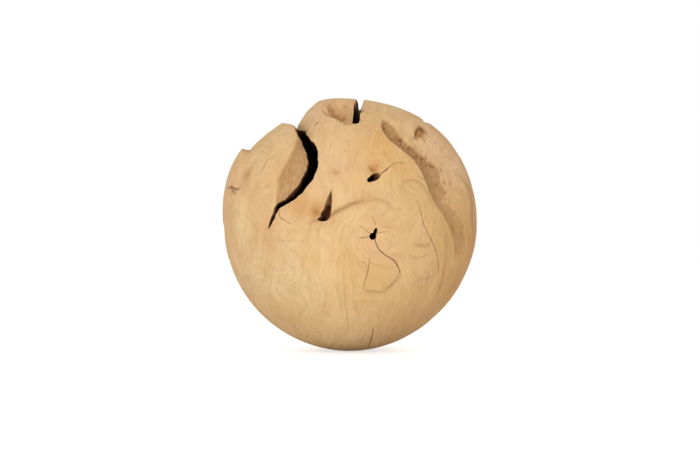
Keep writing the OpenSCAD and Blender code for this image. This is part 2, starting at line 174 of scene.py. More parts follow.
# Soft creases and strokes: half width and depth in mm, how dark, which is partly painted shade
# along creases, lips and pockets and partly brown lines, then azimuth and elevation along the line
STROKES = [
    [1.6, 1.1, 0.55, [-18.5, 1], [-11, 3.5], [-3, 7.5], [2, 9.8], [7, 11]],
    [1.4, 0.4, 0.2, [5.5, 10.5], [11, 11], [16, 9.5], [20, 6]],
    [2.4, 0.8, 0.3, [-61.5, 31], [-61, 26], [-58, 20], [-56, 13]],
    [0.8, 0.15, 0.21, [-38.5, 36.5], [-42, 33.5], [-45, 31.5], [-47.5, 29], [-48, 26], [-51, 22]],
    [0.8, 0.1, 0.18, [-38.5, 32], [-43.5, 31], [-48, 30]],
    [0.8, 0.1, 0.18, [-54, 5.5], [-49.5, 2], [-45.5, -1], [-43, -3]],
    [0.8, 0.1, 0.15, [-52, 7.5], [-47, 3.5], [-42.5, -1]],
    [0.8, 0.1, 0.15, [-37, -5], [-32, -6.5], [-27, -7], [-23.5, -5.5]],
    [0.8, 0.1, 0.15, [-29.5, 0.5], [-28, -2], [-27.5, -4], [-29, -6.5]],
    [0.8, 0.1, 0.15, [-31, -13], [-29.5, -16], [-27.5, -18.5], [-25, -19]],
    [0.8, 0.1, 0.15, [-42.5, -14.5], [-39.5, -18], [-36, -20], [-33, -19]],
    [1.2, -0.3, 0, [-16, -18], [-18.5, -22], [-21.5, -27.5], [-23.5, -31.5]],
    [0.8, 0.2, 0.18, [-2.5, -12], [-3, -22], [-2.5, -34.5], [-1.5, -45], [-1, -52], [-3.5, -57]],
    [0.8, 0.1, 0.12, [-5, -11], [-5.5, -24.5], [-5, -36], [-4, -47.5]],
    [1.3, 0.3, 0.3, [29.5, -8], [31.5, -9], [35.5, -9], [38, -7]],
    [1.0, 0.1, 0.25, [26.5, -13], [30.5, -14.5], [35, -13.5], [38, -11]],
    [1.2, 0.2, 0.25, [33, -27], [35.5, -24.5], [41.5, -23.5], [45.5, -21]],
    [1.0, 0.1, 0.3, [22.5, 15], [25, 18.5], [29.5, 19.5], [33.5, 18], [36.5, 14], [38.5, 8.5]],
    [1.6, 0.3, 0.25, [46.5, -1.5], [48, -9], [49.5, -16.5], [51.5, -25], [55.5, -35.5]],
    [1.1, 0.3, 0.35, [6.5, -29], [10, -29.5], [14, -30], [17, -30]],
    [1.3, 0.4, 0.35, [17, -30], [19.5, -28], [21.5, -25.5], [23.5, -22.5]],
    [0.9, 0.2, 1.0, [-74, 16.3], [-68, 16.3], [-63, 15.6], [-58, 15.8]],
    [0.9, 0.2, 1.0, [-67, 16.2], [-65, 14.4], [-62, 13.5]],
    [0.9, 0.8, 1.0, [-26, 50.8], [-25.4, 52.2], [-25, 53.6]],
    [1.9, 0.4, 1.0, [-33.5, 47.5], [-36.5, 50.5], [-41, 53.5]],
    [0.9, 0.3, 0.8, [9, 60.5], [12, 61.5], [14, 63.5]],
    [0.9, 0.5, 0.7, [26, 53.5], [24, 49], [24.5, 45.5], [28, 40], [32.5, 35]],
    [1.1, 0.4, 0.6, [32.5, 35], [36, 27], [37.5, 20], [39, 14], [42, 9.5], [47, 3.5], [52, -5]],
    [1.2, 1.2, 1.0, [50, 44.8], [52, 47.6], [56, 49.2], [59.5, 48.2], [60.5, 46]],
    [2.2, 0.5, 0.35, [66, 24], [72.5, 17], [72.5, 8], [71.5, 3], [73.5, -6]],
]
# Pits: azimuth, elevation, width and depth in mm
PITS = [
    [54, 47, 6.5, 4.5], [57.5, 47.3, 5, 3.4], [51, 45.3, 3.5, 1.6], [56, 43, 3, 1],
    [50.6, 34, 4.5, 2], [52.5, 30.5, 4.5, 2], [57, 26.5, 4, 2], [50.5, 19.5, 4, 1.8],
    [55.5, 20.3, 4, 2], [59.5, 19.5, 3, 1.8], [54.3, 15.5, 3.5, 1.8], [52.3, 12, 3.5, 1.6],
    [46.5, 40.5, 3.5, 1.4], [11.8, 25.3, 5, 2], [13, 27.2, 2.5, 1.2],
    [9.8, 26.3, 2.5, 1.2], [38, 46, 4, 1.4], [63.5, 40.7, 2.5, 1], [62, 25, 2, 1],
    [66, 25.7, 2, 1.2], [69, 25.8, 2, 1], [61.2, -4.2, 2.8, 1.8], [66, 15.5, 2, 0.8],
    [51, 5, 3, 1.2], [47.6, 45.6, 3, 1], [-21, 71, 8, 5], [-12.5, 70, 7.5, 4.5],
    [-27, 72.5, 4.5, 2.5], [-15.5, 5.5, 6, 1], [-3.5, 51.6, 5, 3], [-0.5, 50.8, 3.5, 2],
    [-6.5, 52.8, 3, 1.4], [-34, 69.5, 2.2, 1.4], [-42, 67, 2.2, 1.2],
]
# Soft dents, where a negative depth is a bump: azimuth, elevation, length, width and
# depth in mm, turn of the length from level in degrees
DENTS = [
    [-59, -7, 11, 5, 1.8, 95], [-61.5, 24, 40, 8, 1.6, 80], [-66.5, 16, 50, 9, -1.2, 88],
    [-21.5, 7.5, 17, 11, 1.8, 65], [-15, 6.5, 15, 8, 2, 75], [11.5, 25.3, 8, 7, 1.4, 90],
    [-6.5, 23.5, 4, 3, 0.9, 80], [-26, 44, 6, 3, 1.4, 60], [54, 44.5, 7, 6, -1, 60],
    [84, 54, 28, 4, 1.8, 0],
    [11, -32, 26, 5, 0.7, -3], [21, -28, 17, 5, 0.8, 52], [12, -24, 24, 20, -0.6, 0],
    [30, -12, 26, 12, 0.6, 80], [-31, -21, 30, 10, 0.5, 30], [-45, -22, 26, 9, 0.6, -30],
    [-12, -35, 30, 10, 0.6, 70], [45, -25, 30, 9, 0.7, 75], [-33, 30, 30, 4, -0.5, 78],
]


def aim(azimuth, elevation):
    """Directions of places on the ball."""
    a, e = np.radians(azimuth), np.radians(elevation)
    return np.stack([np.cos(e) * np.sin(a), -np.cos(e) * np.cos(a), np.sin(e)], -1)


def unit(v):
    return v / np.linalg.norm(v, axis=-1, keepdims=True)


def eased(a, b, x):
    """Smooth rise from 0 to 1 as x goes from a to b."""
    t = np.clip((x - a) / (b - a), 0, 1)
    return t * t * (3 - 2 * t)


def smoothed(path, steps=PATH_STEPS):
    """Rows of direction and shares on a smooth curve through a path's rows."""
    path = np.array(path, float)
    rows = np.concatenate([aim(path[:, 0], path[:, 1]), path[:, 2:]], 1)
    last = len(rows) - 1
    out = []
    for i in range(last):
        a, b, c, d = rows[max(i - 1, 0)], rows[i], rows[i + 1], rows[min(i + 2, last)]
        for t in np.arange(steps) / steps:
            out.append(b + (c - a) * t / 2 + (2 * a - 5 * b + 4 * c - d) * t * t / 2
                       + (3 * b - a - 3 * c + d) * t ** 3 / 2)
    out = np.array(out + [rows[last]])
    out[:, :3] = unit(out[:, :3])
    return out


def ripple(points, size, shift=0.0):
    """Smooth random field, about -1 to 1, with waves of the given size in mm."""
    return np.array([noise.noise(Vector(p)) for p in points / size + shift])


def beside(dirs, rows):
    """Distance of each direction from a path in mm, positive to its right, and the
    path's shares beside it."""
    nearest = np.full(len(dirs), 1e9)
    offset = np.zeros(len(dirs))
    shares = np.zeros((len(dirs), rows.shape[1] - 3))
    for here, there in zip(rows[:-1], rows[1:]):
        a, run = here[:3], there[:3] - here[:3]
        t = np.clip((dirs - a) @ run / (run @ run), 0, 1)
        off = dirs - a - t[:, None] * run
        far = np.linalg.norm(off, axis=1) * BALL_R
        near = far < nearest
        nearest[near] = far[near]
        offset[near] = (far * np.where(off @ np.cross(run, a) < 0, -1, 1))[near]
        shares[near] = (here[3:] + t[:, None] * (there[3:] - here[3:]))[near]
    return offset, shares


LOBE_ROWS = smoothed(LOBE_EDGE)
BELLY_ROWS = smoothed(BELLY_EDGE)


def relief(dirs):
    """Height of the hand-sanded surface above the ball's radius, before its hollows."""
    height = np.zeros(len(dirs))
    for azimuth, elevation, reach, share in SWELLS:
        angle = np.degrees(np.arccos(np.clip(dirs @ aim(azimuth, elevation), -1, 1)))
        height += SWELL_H * share * np.exp(-(angle / reach) ** 2)
    off, share = beside(dirs, LOBE_ROWS)
    rise = eased(0, LOBE_STEP * share[:, 1], -off)
    rise = rise * (1 - eased(LOBE_STEP, BALL_R * 0.8, -off))
    height += LOBE_H * share[:, 0] * rise
    off, share = beside(dirs, BELLY_ROWS)
    dip = eased(-VALLEY_EDGE, VALLEY_EDGE, off) * (1 - eased(VALLEY_W * 0.3, VALLEY_W, off))
    return height - VALLEY_DEPTH * share[:, 0] * dip


def hollow(dirs, edges, depth, profile):
    """Depth of a hollow that spans two edges, and how far along and across it a
    direction lies: across is -1 outside."""
    edges = np.array(edges, float)
    near = smoothed(edges[:, [0, 1, 4]])
    far = smoothed(edges[:, [2, 3]])
    steps, shares = np.array(profile, float).T
    drop, along = np.zeros(len(dirs)), np.zeros(len(dirs))
    across = np.full(len(dirs), -1.0)
    for i in range(len(near) - 1):
        planes = [np.cross(near[k, :3], far[k, :3]) for k in (i, i + 1)]
        s0, s1 = dirs @ planes[0], dirs @ planes[1]
        here = (s0 * s1 <= 0) & (dirs @ near[i, :3] > 0.5) & (s0 != s1)
        if not here.any():
            continue
        d = dirs[here]
        f = (s0[here] / (s0[here] - s1[here]))[:, None]
        a = near[i] + f * (near[i + 1] - near[i])
        span = far[i, :3] + f * (far[i + 1, :3] - far[i, :3]) - a[:, :3]
        n = np.cross(a[:, :3], span)
        t = -(np.cross(d, a[:, :3]) * n).sum(1) / (np.cross(d, span) * n).sum(1)
        inside = (t >= 0) & (t <= 1)
        index = np.flatnonzero(here)[inside]
        value = depth * np.maximum(a[inside, 3], 0) * np.interp(t[inside], steps, shares)
        drop[index] = np.maximum(drop[index], value)
        across[index] = t[inside]
        along[index] = i + f[inside, 0]
    return drop, along, across


def bowl(dirs, path, width, depth):
    """Depth of a round-bottomed hollow along a path."""
    off, share = beside(dirs, smoothed(path))
    steps, shares = np.array(BOWL).T
    ratio = np.abs(off) / (width / 2 * np.maximum(share[:, 0], 0.02))
    return depth * np.maximum(share[:, 1], 0) * np.interp(ratio, steps, shares)


def lips(dirs):
    """How far the sanded edge of each opening is worn down."""
    worn = np.zeros(len(dirs))
    for path, width, wear, reach in (
        (CLEFT, CLEFT_W, 0.8, 1.6), (SLIT, SLIT_W, 0.5, 1.2), (SLOT, SLOT_W, 0.9, 1.8),
        (EYE, EYE_W, 0.9, 1.8), (KNOT_HOLE, KNOT_HOLE_W, 0.4, 1.2),
    ):
        off, share = beside(dirs, smoothed(path))
        out = np.maximum(np.abs(off) - width / 2 * share[:, 0], 0)
        worn = np.maximum(worn, wear * np.exp(-(out / reach) ** 2))
    return worn


def cube_grid(n):
    """Corners and cells of a cube's surface grid, as whole numbers from 0 to n."""
    cells = []
    i, j = [v.ravel() for v in np.meshgrid(range(n), range(n), indexing="ij")]
    for axis in range(3):
        for side in (0, n):
            corners = []
            for di, dj in ((0, 0), (1, 0), (1, 1), (0, 1)):
                p = np.zeros((n * n, 3), int)
                p[:, axis] = side
                p[:, (axis + 1) % 3] = i + di
                p[:, (axis + 2) % 3] = j + dj
                corners.append(p)
            cells.append(np.stack(corners[::-1] if side == 0 else corners, 1))
    cells = np.concatenate(cells)
    corners, index = np.unique(cells.reshape(-1, 3), axis=0, return_inverse=True)
    return corners, index.reshape(-1, 4)


def focused(dirs):
    """Directions drawn towards the front, with the cells kept square."""
    front = np.array([0.0, -1.0, 0.0])
    ahead = dirs @ front
    side = dirs - ahead[:, None] * front
    turn = 2 * np.arctan(FRONT_FOCUS * np.tan(np.arccos(np.clip(ahead, -1, 0.99999999)) / 2))
    length = np.maximum(np.linalg.norm(side, axis=1, keepdims=True), 1e-9)
    return np.cos(turn)[:, None] * front + np.sin(turn)[:, None] * side / length


def softened(values, quads, passes):
    """Values on the grid's corners, each drawn halfway to its neighbours' mean."""
    here, there = quads.ravel(), np.roll(quads, -1, axis=1).ravel()
    count = np.bincount(here, minlength=len(values))
    for _ in range(passes):
        values = (values + np.bincount(here, values[there], minlength=len(values)) / count) / 2
    return values


def tapered(line):
    """Rows of a stroke with a share that fades towards both ends."""
    last = len(line) - 1
    return smoothed([place + [0.3 if i in (0, last) else 1] for i, place in enumerate(line)])


def stroked(dirs):
    """Depth and darkness of the soft creases and strokes, the darkness partly painted shade along creases,
    lips and pockets and partly lines in the wood's colour.
    """
    drop, painted_shade_and_lines = np.zeros(len(dirs)), np.zeros(len(dirs))
    for width, depth, strength, *line in STROKES:
        rows = tapered(line)
        middle = unit(rows[:, :3].mean(0))
        near = np.flatnonzero(dirs @ middle > (rows[:, :3] @ middle).min() - 0.03)
        off, share = beside(dirs[near], rows)
        close = share[:, 0] * np.exp(-(off / width) ** 2)
        drop[near] += depth * close
        painted_shade_and_lines[near] = np.maximum(painted_shade_and_lines[near], strength * close)
    return drop, painted_shade_and_lines


def dented(dirs):
    """Depth of the soft dents, bumps and strokes."""
    drop, _ = stroked(dirs)
    for azimuth, elevation, length, width, depth, turn in DENTS:
        centre = aim(azimuth, elevation)
        east = aim(azimuth + 90, 0)
        north = np.cross(centre, east)
        t = math.radians(turn)
        u = (dirs @ (east * math.cos(t) + north * math.sin(t))) * BALL_R * 2 / length
        v = (dirs @ (north * math.cos(t) - east * math.sin(t))) * BALL_R * 2 / width
        drop += depth * np.exp(-u * u - v * v) * (dirs @ centre > 0)
    return drop


def carved(dirs):
    """Depth of all the hollows below the sanded surface, and the painted shade on their walls, in the pits
    and in the crater.
    """
    bank, _, bank_across = hollow(dirs, BANK, BANK_DROP, FALLING_BANK)
    shoulder, _, _ = hollow(dirs, SHOULDER, SHOULDER_DROP, ROUND_SHOULDER)
    trough, _, across = hollow(dirs, TROUGH, TROUGH_DEPTH, STEEP_LIP)
    crater = np.maximum(bowl(dirs, CRATER, CRATER_W, CRATER_DEPTH),
                        bowl(dirs, CRATER_END, CRATER_W, CRATER_DEPTH))

    # The trough's wall gets painted shade down to a ragged ledge, where its pale floor begins
    places = dirs * BALL_R
    beyond, _ = beside(dirs, smoothed(LEDGE))
    beyond = beyond + 1.4 * ripple(places, 5.0, 5.5) + 0.7 * ripple(places, 2.4, 8.5)
    floor_share = eased(-0.7, 0.7, beyond)
    proud = 1.4 * floor_share * (1 - eased(1, 9, beyond)) * eased(2, 6, trough)
    high = eased(0.05, 0.6, dirs[:, 2])
    # Painted shade on the trough's wall, stronger higher up; faint blotches on its pale floor
    painted_shade_and_lines = (across > 0) * eased(0.1, 1.5, trough) * (1 - floor_share) * (0.5 + 0.45 * high)
    painted_shade_and_lines = painted_shade_and_lines + 0.2 * floor_share * eased(1, 4, trough) * eased(0.1, 0.5, ripple(places, 6.0, 3.3))
    trough = trough - proud

    # Painted shade on the bank, strongest at its crisp left edge
    edge = eased(0, 0.05, bank_across) * (1 - 0.5 * eased(0.2, 0.95, bank_across))
    painted_shade_and_lines = np.maximum(painted_shade_and_lines, 0.8 * edge * eased(0.2, 1.5, bank) * (1 - 0.6 * eased(0.62, 0.74, dirs[:, 2])))
    # Painted shade on the crater's left wall, streaked along its fibres and faint over the whole crater;
    # the same streaks roughen its surface
    streaks = ripple(dirs * [150.0, 40.0, 60.0], 2.6, 1.5)
    right_of, _ = beside(dirs, smoothed(CRATER))
    left_wall = crater / CRATER_DEPTH * (1 - 0.85 * eased(-3, 1.5, right_of))
    painted_shade_and_lines = np.maximum(painted_shade_and_lines, left_wall * (0.8 + 0.7 * streaks) + 0.08 * eased(0, 1, crater))
    crater = crater + 0.6 * streaks * eased(0.5, 3, crater)

    depth = np.maximum.reduce([bank, shoulder, trough, crater])
    rough = eased(1, 5, depth) * np.where(across > 0, 1, 0.7)
    depth = depth + rough * (0.5 * ripple(places, 5.0, 2.5) + 0.25 * ripple(places, 2.6, 4.5))
    ragged = 1 + 0.45 * ripple(places, 2.4, 6.5)
    # Each pit sinks the surface and gets painted shade
    for azimuth, elevation, width, pit_depth in PITS:
        far = np.linalg.norm(dirs - aim(azimuth, elevation), axis=1) * BALL_R * ragged
        pit = 1 - eased(width * 0.15, width * 0.6, far)
        depth = depth + pit_depth * pit
        painted_shade_and_lines = np.maximum(painted_shade_and_lines, 0.7 * pit + painted_shade_and_lines * 0.6 * pit)
    return depth, painted_shade_and_lines


def mesh_object(name, points, faces):
    """Mesh object from points in mm around the ball's middle."""
    mesh = bpy.data.meshes.new(name)
    mesh.from_pydata(((points + [0, 0, BALL_R]) * MM).tolist(), [], [list(f) for f in faces])
    mesh.update()
    thing = bpy.data.objects.new(name, mesh)
    bpy.context.scene.collection.objects.link(thing)
    return thing


def swept(name, rows, sections, rough=0.0):
    """Cutting shape swept along a path. A section's points are an offset to the right
    and a height, both in mm."""
    dirs = rows[:, :3]
    last = len(rows) - 1
    ahead = np.array([dirs[min(i + 1, last)] - dirs[max(i - 1, 0)] for i in range(last + 1)])
    right = unit(np.cross(ahead, dirs))
    sections = np.array(sections)
    size = sections.shape[1]
    turn = (sections[:, :, 0] / BALL_R)[:, :, None]
    rays = unit(np.cos(turn) * dirs[:, None] + np.sin(turn) * right[:, None]).reshape(-1, 3)
    points = rays * (BALL_R + relief(rays) + sections[:, :, 1].ravel())[:, None]
    if rough:
        inside = (sections[:, :, 1].ravel() < 5)[:, None]
        sway = np.stack([ripple(points, 4.0, k * 7.3) for k in (1, 2, 3)], 1)
        points = points + inside * rough * sway
    rings = np.arange(len(points)).reshape(-1, size)
    faces = [rings[0][::-1], rings[-1]]
    for i in range(last):
        for k in range(size):
            n = (k + 1) % size
            faces.append([rings[i][k], rings[i][n], rings[i + 1][n], rings[i + 1][k]])
    return mesh_object(name, points, faces)


def fissure(name, path, width, depth, rough=0.5):
    """Deep narrow opening whose walls close towards its bottom."""
    rows = smoothed(path)
    levels = [0, 0.12, 0.3, 0.5, 0.7, 0.88, 1]
    narrow = [1, 0.98, 0.94, 0.88, 0.76, 0.55, 0.28]
    sections = []
    for row in rows:
        w, d = width / 2 * max(row[3], 0.02), depth * max(row[4], 0.02)
        wall = [(w * f, -d * q) for q, f in zip(levels, narrow)]
        left = [(-x, h) for x, h in reversed(wall)]
        sections.append([(-w, OVERSHOOT), (w, OVERSHOOT)] + wall + left)
    return swept(name, rows, sections, rough)


def crack(name, path, width, depth):
    """Crack with a wedge section."""
    rows = smoothed(path)
    sections = []
    for row in rows:
        w, d = width / 2 * max(row[3], 0.02), depth * max(row[3], 0.02)
        sections.append([(-w, OVERSHOOT), (w, OVERSHOOT), (w, 0), (0, -d), (-w, 0)])
    return swept(name, rows, sections, 0.35)


def ball_body():
    """The sanded ball with its wide hollows, as a fine even skin."""
    corners, quads = cube_grid(FACE_CELLS)
    dirs = focused(unit(np.tan(np.pi / 4 * (2 * corners / FACE_CELLS - 1))))
    depth, _ = carved(dirs)
    height = relief(dirs) - softened(depth, quads, 1) - dented(dirs) - lips(dirs)
    height += 0.3 * ripple(dirs * BALL_R, 16.0) + 0.12 * ripple(dirs * BALL_R, 6.0, 4.4)
    height = np.minimum(height, relief(dirs)) - SANDED
    return mesh_object("wood_ball", dirs * (BALL_R + height)[:, None], quads)


def cut(body, tools):
    """Takes every cutting shape out of the body."""
    for tool in tools:
        step = body.modifiers.new(tool.name, "BOOLEAN")
        step.operation = "DIFFERENCE"
        step.solver = "MANIFOLD"
        step.object = tool
    bpy.context.view_layer.update()
    done = body.evaluated_get(bpy.context.evaluated_depsgraph_get())
    mesh = bpy.data.meshes.new_from_object(done)
    body.modifiers.clear()
    body.data = mesh
    for tool in tools:
        bpy.data.objects.remove(tool)


body = ball_body()
tools = [
    fissure("cleft", CLEFT, CLEFT_W, CLEFT_DEPTH, 0.9),
    fissure("slit", SLIT, SLIT_W, SLIT_DEPTH),
    fissure("slot", SLOT, SLOT_W, SLOT_DEPTH),
    fissure("eye", EYE, EYE_W, EYE_DEPTH, 0.6),
    fissure("knot_hole", KNOT_HOLE, KNOT_HOLE_W, KNOT_HOLE_DEPTH, 0.25),
]
tools += [crack("crack_%d" % i, path, CRACK_W, CRACK_DEPTH) for i, path in enumerate(CRACKS)]
tools += [crack("check_%d" % i, path, CHECK_W, CHECK_DEPTH) for i, path in enumerate(CHECKS)]
cut(body, tools)
body.name = "wood_ball"
print("ball:", len(body.data.vertices), "corners,", len(body.data.polygons), "faces")


# Grain: the pith stands left of the ball, and each figure bends the rings around it.
# Place, reach in mm and height of the bend in mm.
PITH = [-150.0, -60.0]
FIGURES = [
    [10.5, -7, 18, 30], [-45, 14, 13, 16], [-28.5, -5, 12, 14], [30, 8, 13, -16],
    [35, -15, 12, 12], [-60, -36, 18, 22], [-20, -46, 12, 14], [-36, -30, 11, 12],
    [62, 20, 16, 14], [-80, -5, 18, 16], [20, 40, 16, 10], [120, 10, 22, 26],
    [-150, -15, 20, 24], [165, 40, 17, 18], [75, -40, 22, 20], [0, -85, 18, 14],
]
# Stains, the third list partly painted shade: place, reach in degrees, strength
HONEY = [
    [18, 37, 13, 1], [26, 27, 10, 0.8], [5, 26, 12, 0.6], [-18, -15, 6, 0.9],
    [10, -25, 26, 0.7], [-4, 4, 14, 0.5], [35, -2, 12, 0.35], [60, -12, 30, 0.6],
    [150, -10, 40, 0.6], [-130, 20, 30, 0.5], [-30, 33, 10, 0.25],
]
ROSY = [
    [-75, 15, 16, 0.9], [-40, 62, 16, 0.8], [-10, 58, 14, 0.6], [-44, 5, 18, 0.35],
    [-23, 25, 9, 0.3], [-70, -20, 20, 0.5], [66, 34, 20, 0.8], [11, -7, 13, 0.6],
    [-10, 27, 11, 0.9], [-3, 13, 9, 0.5],
    [170, 50, 30, 0.6], [-120, -30, 30, 0.5],
]
# Brown tone on the right side, partly the wood's colour and partly painted shade, and painted shade in the
# dents, pits, notches and the crater's pocket
BROWN_AND_SHADE = [
    [76, -5, 20, 0.65], [68, -28, 18, 0.5], [88, 18, 13, 0.75], [45, 12, 8, 0.4],
    [52, 0, 10, 0.45], [-68, 15.5, 4, 0.3], [-23, 8.5, 7, 0.75], [-15.5, 6, 4.5, 1],
    [-6.5, 23.5, 1.5, 0.8], [8, 11, 5, 0.4], [50, -50, 22, 0.35],
    [-12, 4, 7, 0.35], [-27.5, 44, 3.5, 0.6], [-85, 35.5, 4, 0.9], [11.8, 25.3, 3.2, 1],
    [55.5, 47.5, 3.2, 1], [-18, 70.5, 5, 0.4],
    [80, 50, 10, 0.4], [-38, -6, 9, 0.35],
    [-33, 25, 7, 0.45], [10, -80, 24, 0.1], [140, -50, 40, 0.4],
]


# Openings whose walls are lit, where the painted shade inside is held back to show their brown: place,
# reach in degrees, strength
LIT_WALLS = [
    [-9.5, 10.5, 7, 1], [-10.4, 6.8, 5, 1], [-11.5, 4.5, 4, 0.98], [14, 81, 7, 1], [14, 23, 2.5, 0.9],
    [-27, 14.2, 3.5, 0.95],
]


# Where the wood is greyer and paler, partly a grey tone on the left and partly painted light that brightens
# the bottom: place, reach in degrees, strength
OLIVE_AND_BOTTOM_LIGHT = [[-36, -28, 28, 0.9], [-58, 4, 15, 0.5], [-62, 40, 14, 0.4], [10, -66, 34, 0.9], [120, 30, 24, 0.5]]


def store(mesh, name, values):
    mesh.attributes.new(name, "FLOAT", "POINT").data.foreach_set("value", values)


def soft_spots(dirs, stains):
    """Strength of a soft round patch, 0 to 1: a stain, painted shade or painted light, as its list gives.
    """
    out = np.zeros(len(dirs))
    for azimuth, elevation, reach, strength in stains:
        angle = np.degrees(np.arccos(np.clip(dirs @ aim(azimuth, elevation), -1, 1)))
        out = np.maximum(out, strength * np.exp(-(angle / reach) ** 2))
    return out


def grooved(dirs):
    """How close each place is to the bottom of a crack or a stroke, as painted shade in the cracks and
    creases and as lines along the strokes.
    """
    _, out = stroked(dirs)
    lines = [(path, CRACK_W, 1.0) for path in CRACKS] + [(path, CHECK_W, 0.7) for path in CHECKS]
    for path, width, strength in lines:
        off, share = beside(dirs, smoothed(path))
        value = strength * np.exp(-(off / (width * 0.3 * np.maximum(share[:, 0], 0.3))) ** 2)
        out = np.maximum(out, value)
    return out


def dress(body):
    """Stores what the wood's look depends on: depths, painted shade, grain, and tone patches that are
    partly painted shade and light.
    """
    mesh = body.data
    points = np.empty(len(mesh.vertices) * 3)
    mesh.vertices.foreach_get("co", points)
    points = points.reshape(-1, 3) / MM - [0, 0, BALL_R]
    radius = np.linalg.norm(points, axis=1)
    dirs = points / radius[:, None]
    depth, painted_shade_and_lines = carved(dirs)
    below = BALL_R + relief(dirs) - depth - dented(dirs) - radius
    # Painted shade of the hollows, the pits and the crater's wall
    store(mesh, "painted_shade_and_lines", painted_shade_and_lines)
    # Depth inside the openings, which the wood turns into painted shade; held back where the walls are lit
    store(mesh, "deep", np.maximum(below - 1.0, 0) * (1 - 0.95 * soft_spots(dirs, LIT_WALLS)))
    # Painted shade in the cracks and creases, and lines along the strokes
    store(mesh, "groove_shade_and_lines", grooved(dirs))
    ring = np.hypot(points[:, 0] - PITH[0], points[:, 1] - PITH[1])
    for azimuth, elevation, reach, bend in FIGURES:
        far = np.linalg.norm(points - aim(azimuth, elevation) * BALL_R, axis=1)
        ring = ring + bend * np.exp(-(far / reach) ** 2)
    ring += 12.0 * ripple(points, 60.0, 3.1) + 5.0 * ripple(points, 22.0, 9.7)
    store(mesh, "ring", ring)
    store(mesh, "honey", soft_spots(dirs, HONEY))
    store(mesh, "rosy", soft_spots(dirs, ROSY))
    # Brown tone, partly painted shade
    store(mesh, "brown_and_shade", soft_spots(dirs, BROWN_AND_SHADE))
    # Greyer tone, and painted light low on the ball
    store(mesh, "olive_and_bottom_light", soft_spots(dirs, OLIVE_AND_BOTTOM_LIGHT))
    mesh.polygons.foreach_set("use_smooth", [True] * len(mesh.polygons))
    mesh.set_sharp_from_angle(angle=math.radians(38))


dress(body)


def colour(red, green, blue):
    """Linear colour from plain 0 to 255 values."""
    return tuple((v / 255 / 12.92) if v <= 10 else ((v / 255 + 0.055) / 1.055) ** 2.4
                 for v in (red, green, blue)) + (1,)


class Graph:
    """Short calls that lay out the nodes of a new material, or of another tree."""

    def __init__(self, name, tree=None):
        if tree is None:
            self.made = bpy.data.materials.new(name)
            self.made.use_nodes = True
            tree = self.made.node_tree
        self.nodes, self.links = tree.nodes, tree.links
        self.shader = self.nodes.get("Principled BSDF")

    def put(self, node, key, value):
        if isinstance(value, bpy.types.NodeSocket):
            self.links.new(value, node.inputs[key])
        else:
            node.inputs[key].default_value = value

    def node(self, kind, inputs, **settings):
        made = self.nodes.new("ShaderNode" + kind)
        for key, value in settings.items():
            setattr(made, key, value)
        for key, value in inputs.items():
            self.put(made, key, value)
        return made

    def math(self, operation, a, b=0.0, c=0.0):
        return self.node("Math", {0: a, 1: b, 2: c}, operation=operation).outputs[0]

    def ramp(self, value, low, high, out_low=0.0, out_high=1.0):
        """Value from out_low to out_high as it goes smoothly from low to high."""
        return self.node("MapRange", {
            "Value": value, "From Min": low, "From Max": high, "To Min": out_low,
            "To Max": out_high,
        }, interpolation_type="SMOOTHSTEP").outputs["Result"]

    def stored(self, name):
        return self.node("Attribute", {}, attribute_name=name).outputs["Fac"]

    def mix(self, share, a, b, blend="MIX"):
        made = self.nodes.new("ShaderNodeMix")
        made.data_type = "RGBA"
        made.blend_type = blend
        self.put(made, 0, share)
        self.put(made, 6, a)
        self.put(made, 7, b)
        return made.outputs[2]

    def noise(self, place, scale, detail=2.0, grain=None, pace=1.0):
        """Noise with waves of 1 / scale in mm, and of 1 / pace in mm across the grain."""
        inputs = {"Vector": place, "Scale": scale, "Detail": detail}
        if grain is None:
            return self.node("TexNoise", inputs).outputs["Fac"]
        inputs["W"] = self.math("MULTIPLY", grain, pace / scale)
        return self.node("TexNoise", inputs, noise_dimensions="4D").outputs["Fac"]

    def contours(self, height, count):
        """Thin lines where a height of 0 to 1 passes each of its levels."""
        level = self.math("FRACT", self.math("MULTIPLY", height, count))
        return self.math("MULTIPLY", self.ramp(level, 0.55, 0.94), self.ramp(level, 1.0, 0.95))


